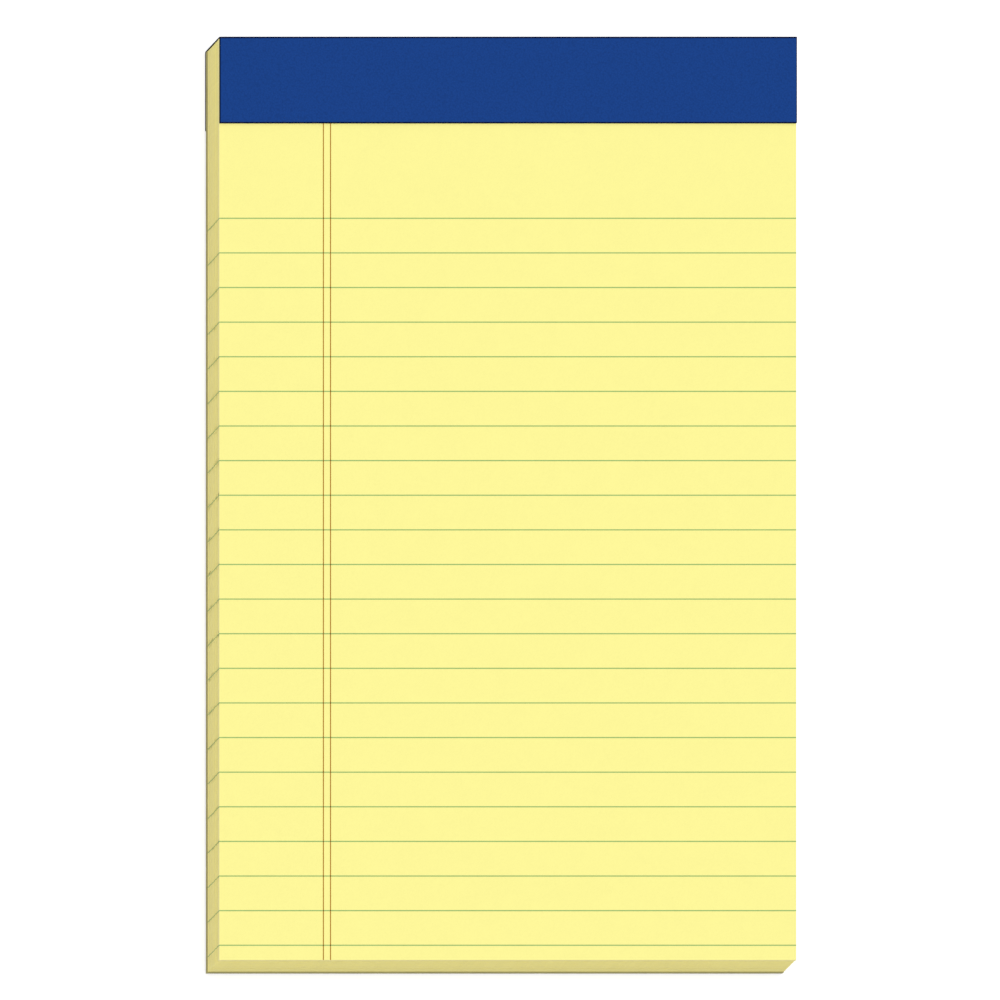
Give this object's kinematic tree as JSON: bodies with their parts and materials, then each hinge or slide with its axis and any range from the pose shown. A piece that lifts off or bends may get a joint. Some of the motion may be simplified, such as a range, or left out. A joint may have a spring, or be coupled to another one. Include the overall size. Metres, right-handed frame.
{
  "type": "legal pad",
  "caption": "Small ruled writing pad of yellow sheets on a chipboard back, stapled and bound at the head with a folded blue tape, with a double margin line.",
  "frame": {"origin": "under the middle of the pad's outline, on the surface that it lies on", "axes": "+X across the page to the right, +Y up the page towards the bound head, +Z out of the page; the pad lies on its back"},
  "size_m": [0.127, 0.2032, 0.0063],
  "materials": {
    "canary_paper": "matte",
    "chipboard": "matte",
    "blue_tape": "matte",
    "staple_wire": "satin",
    "rule_ink": "matte",
    "margin_ink": "matte"
  },
  "bodies": {
    "root": {"backing_board": "chipboard", "ruled_sheets": "canary_paper", "binding_tape": "blue_tape", "left_staple": "staple_wire", "right_staple": "staple_wire", "page_rules": "rule_ink", "margin_rules": "margin_ink"}
  },
  "joints": []
}
